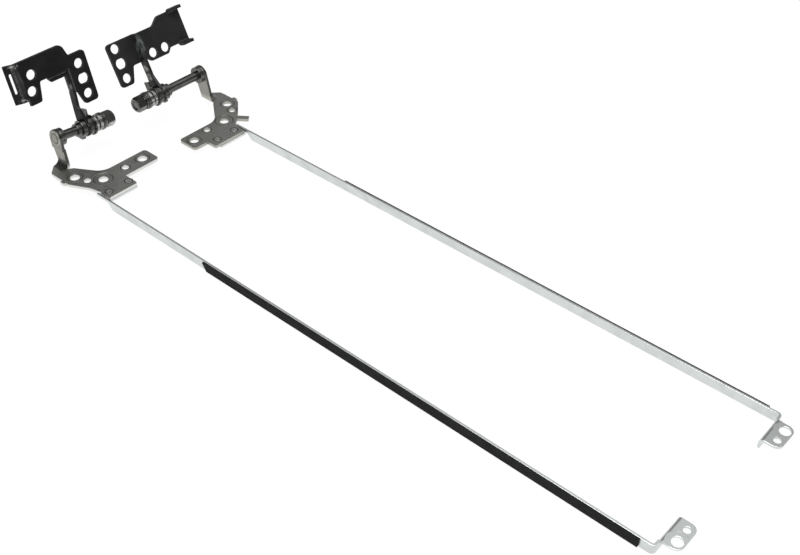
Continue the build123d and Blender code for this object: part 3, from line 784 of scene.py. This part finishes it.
@dataclass
class StakedEnd:
    """The shaft's end peened over the lid arm: a low dome, a fourth-power curve with a ring pressed into it."""

    place: Place
    radius: float = 2.3 * MM
    height: float = 0.16 * MM
    ring: float = 1.62 * MM
    ring_width: float = 0.13 * MM
    ring_depth: float = 0.09 * MM
    seam_level: float = 0.7

    def build(self, shop: Workshop, finish: SheetFinish) -> bpy.types.Object:
        """Makes the peened end on the arm's outer face and dresses it."""
        near = self.place.span("shaft")[0]
        radius = np.linspace(0.01, 1.0, 40) * self.radius
        dome = self.height * (1.0 - (radius / self.radius) ** 4)
        dome -= self.ring_depth * np.exp(-((radius - self.ring) / self.ring_width) ** 2)
        along = np.append(-dome, HEAD_FOOT)
        foot = self.place.pivot + near * self.place.along
        side = self.place.side.value
        # The seam bead's dark colour is painted shade in the pressed ring's groove.
        seam_foot = foot - self.seam_level * self.height * self.place.along
        seam = bead(f"{side}_staked_seam", seam_foot, -self.place.along, self.ring, self.ring_width, SEAM_HEIGHT)
        shop.dress(seam, DARK_BEND, "lid_side")
        piece = turned(f"{side}_staked_end", foot, self.place.along, along, np.append(radius, self.radius))
        return shop.dress(piece, finish, "lid_side")


@dataclass
class PressMarks:
    """The marks of the press on a lid plate: lines round the holes painted dark as shade along the pressed steps, and
    flat rivet heads with a seam painted dark as shade in the groove.
    """

    place: Place
    rims: Tuple[Tuple[float, float, float, float], ...]
    rivets: Tuple[Tuple[float, float], ...]
    rim_half: float = 0.2 * MM
    rim_height: float = 0.06 * MM
    rivet_radius: float = 1.05 * MM
    rivet_rise: float = 0.05 * MM
    seam_half: float = 0.22 * MM

    def build(self, shop: Workshop, finish: SheetFinish) -> None:
        """Makes each line, each seam, and each rivet head, whose dish is a square of the radius.

        Args:
            shop: the workshop that dresses the pieces.
            finish: the plate's own finish, for the rivet heads.
        """
        upright = np.array([0.0, 0.0, 1.0])
        side = self.place.side.value
        for number, (u, v, radius, rise) in enumerate(self.rims):
            piece = bead(f"{side}_hole_rim_{number}", self.place.lid(u, v, rise), upright, radius * MM,
                         self.rim_half, self.rim_height)
            # Painted shade along the pressed line.
            shop.dress(piece, PRESSED_LINE, "lid_side")
        for number, (u, v) in enumerate(self.rivets):
            centre = self.place.lid(u, v)
            seam = bead(f"{side}_rivet_seam_{number}", centre, upright, self.rivet_radius + 0.9 * self.seam_half,
                        self.seam_half, SEAM_HEIGHT)
            # Painted shade in the seam's groove.
            shop.dress(seam, DARK_BEND, "lid_side")
            share = np.linspace(0.01, 1.0, 12)
            dish = self.rivet_rise * (0.35 + 0.65 * share ** 2) * np.where(share > 0.97, 0.3, 1.0)
            piece = turned(f"{side}_rivet_head_{number}", centre, upright, np.append(dish, -HEAD_FOOT),
                           np.append(share, 1.0) * self.rivet_radius)
            shop.dress(piece, finish, "lid_side")


@dataclass
class BendSweep:
    """The wide inner sweep of the fold between a lid plate and its arm: a quarter circle carried along it."""

    place: Place
    arm_u: float
    front_v: float
    rear_v: float = -0.35
    radius: float = 2.4
    sunk: float = 0.1
    rows: int = 24
    crease: float = math.radians(40)

    def build(self, shop: Workshop, finish: SheetFinish) -> bpy.types.Object:
        """Makes the sweep and dresses it."""
        turn = np.linspace(-math.pi / 2, 0.0, self.rows)
        u = np.append(self.arm_u - self.radius * (1 - np.cos(turn)), self.arm_u + self.sunk)
        rise = np.append(self.radius * (1 + np.sin(turn)), -self.sunk)
        ends = np.array([self.rear_v, self.front_v])
        start = self.place.lid(0.0, 0.0)
        points = np.stack([
            np.broadcast_to(start[0] + self.place.side.inward * u * MM, (2, u.size)),
            np.broadcast_to(start[1] + ends[:, None] * MM, (2, u.size)),
            np.broadcast_to(start[2] + rise * MM, (2, u.size))], axis=-1)
        piece = surface(f"{self.place.side.value}_bend_sweep", points, (False, True), caps=True)
        piece.data.set_sharp_from_angle(angle=self.crease)
        return shop.dress(piece, finish, "lid_side")


@dataclass
class FoamStrip:
    """A foam gasket: a rounded rectangle carried along the rail, cut slanted at the hinge and square at the foot."""

    side: Side
    slant: float = 1.6 * MM
    squareness: float = 0.13
    wander: float = 0.02
    rows: int = 420
    columns: int = 40
    crease: float = math.radians(50)

    def build(self, shop: Workshop) -> bpy.types.Object:
        """Makes the strip in the place of its CAD node: a superellipse whose outer half wanders in and out."""
        node = f"{self.side.value}_gasket"
        low, high = (np.array(v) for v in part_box(node))
        half = (high - low) / 2
        centre = (low + high) / 2
        turn = np.linspace(0, 2 * math.pi, self.columns, endpoint=False)
        cos, sin = np.cos(turn), np.sin(turn)
        across = np.sign(cos) * np.abs(cos) ** self.squareness
        tall = np.sign(sin) * np.abs(sin) ** self.squareness
        share = np.linspace(0, 1, self.rows)
        wander = 1.0 - self.wander * (1 + np.sin(share * 61.0) * np.sin(share * 23.0 + 1.0))
        pull = np.where(across[None, :] * -self.side.inward > 0, wander[:, None], 1.0)
        start = low[1] + self.slant * (1 - tall[None, :]) / 2
        y = start + share[:, None] * (high[1] - start)
        points = np.stack([centre[0] + half[0] * across[None, :] * pull, y,
                           np.broadcast_to(centre[2] + half[2] * tall[None, :], y.shape)], axis=-1)
        piece = surface(node + "_strip", points, (False, True), caps=True)
        piece.data.set_sharp_from_angle(angle=self.crease)
        return shop.dress(piece, FOAM, "lid_side", [node])


@dataclass
class Hinge:
    """One hinge of the pair with its rail."""

    side: Side

    def coat(self, place: Place) -> SheetFinish:
        """The black coat with this bracket's own scuffs, and on the right a painted highlight along the arch rim.

        Args:
            place: where the hinge's features lie.

        Returns:
            The finish.
        """
        if self.side is Side.RIGHT:
            patches = (
                Patch(place.plate(-20.5, 6.5), (1.3 * MM, 3.5 * MM, 7.0 * MM), (0.06, 0.06, 0.059), 0.8, 0.4,
                      1800.0, (1.0, 0.3, 0.2)),
                Patch(place.plate(-20.9, 11.9), (2.0 * MM, 1.8 * MM, 1.0 * MM), (0.4, 0.4, 0.39), 0.85),
                Patch(place.plate(-21.2, 1.2), (2.0 * MM, 1.8 * MM, 0.9 * MM), (0.3, 0.3, 0.29), 0.8),
                # Painted highlight along the arch rim, where it turns up to the light.
                Patch(place.plate(-9.5, 2.3, 0.3), (4.5 * MM, 1.2 * MM, 0.5 * MM), (0.07, 0.07, 0.068), 0.8),
                Patch(place.plate(-4.6, -6.5, -1.5), (1.6 * MM, 3.5 * MM, 6.5 * MM), (0.014, 0.014, 0.013), 0.9, 0.3),
                Patch(place.plate(-4.8, -1.6, -1.0), (0.9 * MM, 1.8 * MM, 2.4 * MM), (0.2, 0.2, 0.195), 0.8, 0.1,
                      2000.0, (1.0, 0.5, 0.25)))
            return replace(BLACK_COAT, name="satin_black_coat_right", face=place.face, patches=patches)
        patches = (
            Patch(place.plate(-8.0, 3.0, 2.0), (1.8 * MM, 3.0 * MM, 5.6 * MM), (0.13, 0.15, 0.143), 0.8, 0.08,
                  2600.0, (1.0, 0.25, 0.2)),
            Patch(place.plate(-8.3, 6.8, 1.0), (1.3 * MM, 1.5 * MM, 0.6 * MM), (0.3, 0.3, 0.29), 0.8),
            Patch(place.plate(-7.4, -4.6, 1.0), (0.7 * MM, 1.6 * MM, 1.2 * MM), (0.6, 0.6, 0.58), 0.95, 0.4),
            Patch(place.plate(-7.4, -7.6, 1.0), (0.6 * MM, 1.8 * MM, 1.6 * MM), (0.5, 0.5, 0.48), 0.9, 0.1),
            Patch(place.plate(-23.5, 9.0, 2.5), (2.2 * MM, 2.0 * MM, 1.0 * MM), (0.07, 0.07, 0.068), 0.7, 0.3))
        return replace(BLACK_COAT, name="satin_black_coat_left", dark=(0.012, 0.0125, 0.012),
                       light=(0.02, 0.021, 0.02), face=place.face, patches=patches)

    def plating(self, place: Place, arm_u: float) -> SheetFinish:
        """The nickel plate with the yellowed arm of this hinge, painted shade on the arm's edge faces, and a painted
        reflection on faces square to the plate.

        Args:
            place: where the hinge's features lie.
            arm_u: the arm's outer face, in millimetres inward from the rail.

        Returns:
            The finish.
        """
        right = self.side is Side.RIGHT
        tint = (0.195, 0.192, 0.16) if right else (0.26, 0.255, 0.232)
        # Painted reflection of the table on faces square to the plate.
        cut = DULL_NICKEL.cut if right else (0.45, 0.44, 0.4)
        # The arm's tint, with painted shade on its edge faces.
        yellow = Patch(tuple(place.lid(arm_u, 1.0, 8.0)), (4.0 * MM, 12.0 * MM, 8.0 * MM), tint, 1.0, 0.85, 500.0,
                       fade=0.8, face=tuple(place.along))
        return replace(DULL_NICKEL, name=f"dull_nickel_plate_{self.side.value}", cut=cut, patches=(yellow,))

    def build(self, shop: Workshop) -> None:
        """Builds every piece of the hinge in order."""
        name = self.side.value
        base = f"{name}_base"
        place = Place(self.side)
        if self.side is Side.RIGHT:
            arm_u, front_v = 2.3, 3.7
            rims = ((0.7, 9.7, 2.35, 0.0), (21.2, 16.95, 2.3, 0.0), (14.6, 16.8, 1.5, 0.0), (6.1, 16.8, 3.0, -0.14))
        else:
            arm_u, front_v = -4.6, 4.3
            rims = ((-6.2, 9.7, 2.35, 0.0), (16.0, 18.45, 2.3, 0.0), (9.1, 16.8, 1.5, 0.0), (-4.6, 13.9, 1.6, 0.0),
                    (1.6, 16.8, 3.0, -0.14))
        nickel = self.plating(place, arm_u)
        SheetPiece(f"{name}_base_bracket", base, self.coat(place)).build(shop)
        SheetPiece(f"{name}_lid_bracket", "lid_side", nickel).build(shop)
        SheetPiece(f"{name}_rail", "lid_side", BRIGHT_ZINC, 0.08 * MM).build(shop)
        SheetPiece(f"{name}_shaft", "lid_side", TURNED_STEEL, 0.08 * MM).build(shop)
        SheetPiece(f"{name}_stop_washer", "lid_side", OILED_BLACK, 0.06 * MM).build(shop)
        SheetPiece(f"{name}_friction_washer", base, OILED_BLACK, 0.06 * MM).build(shop)
        SheetPiece(f"{name}_hook_washer", base, HOOK_STEEL, 0.06 * MM).build(shop)
        SheetPiece(f"{name}_spring_washers", "lid_side", SPRING_STEEL, 0.05 * MM).build(shop)
        SheetPiece(f"{name}_pressure_washer", "lid_side", OILED_BLACK, 0.06 * MM).build(shop)
        # The right nut's finish carries the painted highlight.
        Nut(place, patch_share=0.9 if self.side is Side.RIGHT else 0.0).build(shop)
        StakedEnd(place).build(shop, nickel)
        PressMarks(place, rims, ((3.2, 23.45), (10.6, 23.45))).build(shop, nickel)
        # The right sweep is painted dark: painted shade in the bend's hollow.
        BendSweep(place, arm_u, front_v).build(shop, DARK_BEND if self.side is Side.RIGHT else nickel)
        FoamStrip(self.side).build(shop)


@dataclass(frozen=True)
class Lamp:
    """A large round lamp."""

    name: str
    place: Point
    aim: Point
    power: float
    size: float = 0.6

    def hang(self) -> None:
        """Puts the lamp in its place and points it."""
        lamp = bpy.data.lights.new(self.name, "AREA")
        lamp.shape = "DISK"
        lamp.size = self.size
        lamp.energy = self.power
        holder = bpy.data.objects.new(self.name, lamp)
        bpy.context.scene.collection.objects.link(holder)
        holder.location = self.place
        holder.rotation_euler = (Vector(self.aim) - Vector(self.place)).to_track_quat("-Z", "Y").to_euler()


@dataclass
class Studio:
    """The table, the lamps and the camera."""

    lens: float = 1136.0 * 36.0 / 800.0
    azimuth: float = math.radians(130.66)
    elevation: float = math.radians(40.16)
    roll: float = math.radians(0.75)
    from_rail_end: Point = (0.1516, 0.05128, 0.2068)
    floor_size: float = 3.0
    floor_drop: float = 0.02 * MM
    white_share: float = 0.92
    white: float = 1.03
    sensor: float = 36.0
    lamps: Tuple[Lamp, ...] = (
        Lamp("soft_key", (0.1, 0.1, 0.8), (0.0, -0.05, 0.0), 4.0),
        Lamp("soft_fill", (0.7, 0.55, 0.5), (0.0, 0.0, 0.0), 1.5))

    def floor(self) -> None:
        """Lays the table: white to the camera and in reflections, with a soft shadow left on it."""
        edge = np.array([-0.5, 0.5]) * self.floor_size
        x, y = np.meshgrid(edge, edge)
        table = surface("table", np.stack([x, y, np.full_like(x, -self.floor_drop)], axis=-1), (False, False))
        made = bpy.data.materials.new("white_table")
        made.use_nodes = True
        g = Graph(made.node_tree)
        path = g.add("LightPath")
        seen = g.math("MAXIMUM", path.outputs["Is Camera Ray"], path.outputs["Is Glossy Ray"])
        seen = g.math("MAXIMUM", seen, path.outputs["Is Transmission Ray"])
        matte = g.add("BsdfDiffuse", {"Color": (0.9, 0.9, 0.9)}).outputs[0]
        white = g.add("Emission", {"Color": (1.0, 1.0, 1.0), "Strength": self.white}).outputs[0]
        mixed = g.add("MixShader", {0: g.math("MULTIPLY", seen, self.white_share), 1: matte, 2: white})
        out = g.add("OutputMaterial")
        g.put(out.inputs["Surface"], mixed.outputs[0])
        table.data.materials.append(made)

    def light(self) -> None:
        """Sets a room that is dim at mid height and light overhead, and two large lamps."""
        world = bpy.data.worlds.new("studio")
        bpy.context.scene.world = world
        world.use_nodes = True
        g = Graph(world.node_tree)
        way = g.add("TexCoord").outputs["Generated"]
        height = g.add("SeparateXYZ", {0: way}).outputs["Z"]
        walls = g.blend(g.span(height, 0.05, 0.4), (0.5, 0.5, 0.505), (0.22, 0.22, 0.222))
        room = g.blend(g.span(height, 0.62, 0.82), walls, (0.95, 0.95, 0.95))
        back = g.add("Background", {"Color": room, "Strength": 1.0})
        out = g.add("OutputWorld")
        g.put(out.inputs["Surface"], back.outputs[0])
        for lamp in self.lamps:
            lamp.hang()

    def camera(self) -> None:
        """Puts the camera where the photograph was taken from."""
        a, e, r = self.azimuth, self.elevation, self.roll
        back = Vector((math.sin(a) * math.cos(e), -math.cos(a) * math.cos(e), math.sin(e)))
        level = Vector((math.cos(a), math.sin(a), 0.0))
        upright = back.cross(level)
        right = math.cos(r) * level + math.sin(r) * upright
        up = -math.sin(r) * level + math.cos(r) * upright
        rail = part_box("right_rail")[1]
        place = Vector((rail[0], rail[1], 0.0)) + Vector(self.from_rail_end)
        lens = bpy.data.cameras.new("photo_camera")
        lens.sensor_fit = "HORIZONTAL"
        lens.sensor_width = self.sensor
        lens.lens = self.lens
        lens.clip_start = 0.01
        lens.clip_end = 10.0
        holder = bpy.data.objects.new("photo_camera", lens)
        bpy.context.scene.collection.objects.link(holder)
        holder.matrix_world = Matrix.Translation(place) @ Matrix((right, up, back)).transposed().to_4x4()
        bpy.context.scene.camera = holder

    def build(self) -> None:
        """Builds the whole studio."""
        bpy.context.scene.view_settings.view_transform = "Standard"
        self.floor()
        self.light()
        self.camera()


def main() -> None:
    """Builds the pair and the studio."""
    logging.basicConfig(level=logging.INFO, format="%(message)s")
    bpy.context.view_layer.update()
    shop = Workshop()
    for side in Side:
        Hinge(side).build(shop)
    Studio().build()


if __name__ == "__main__":
    main()
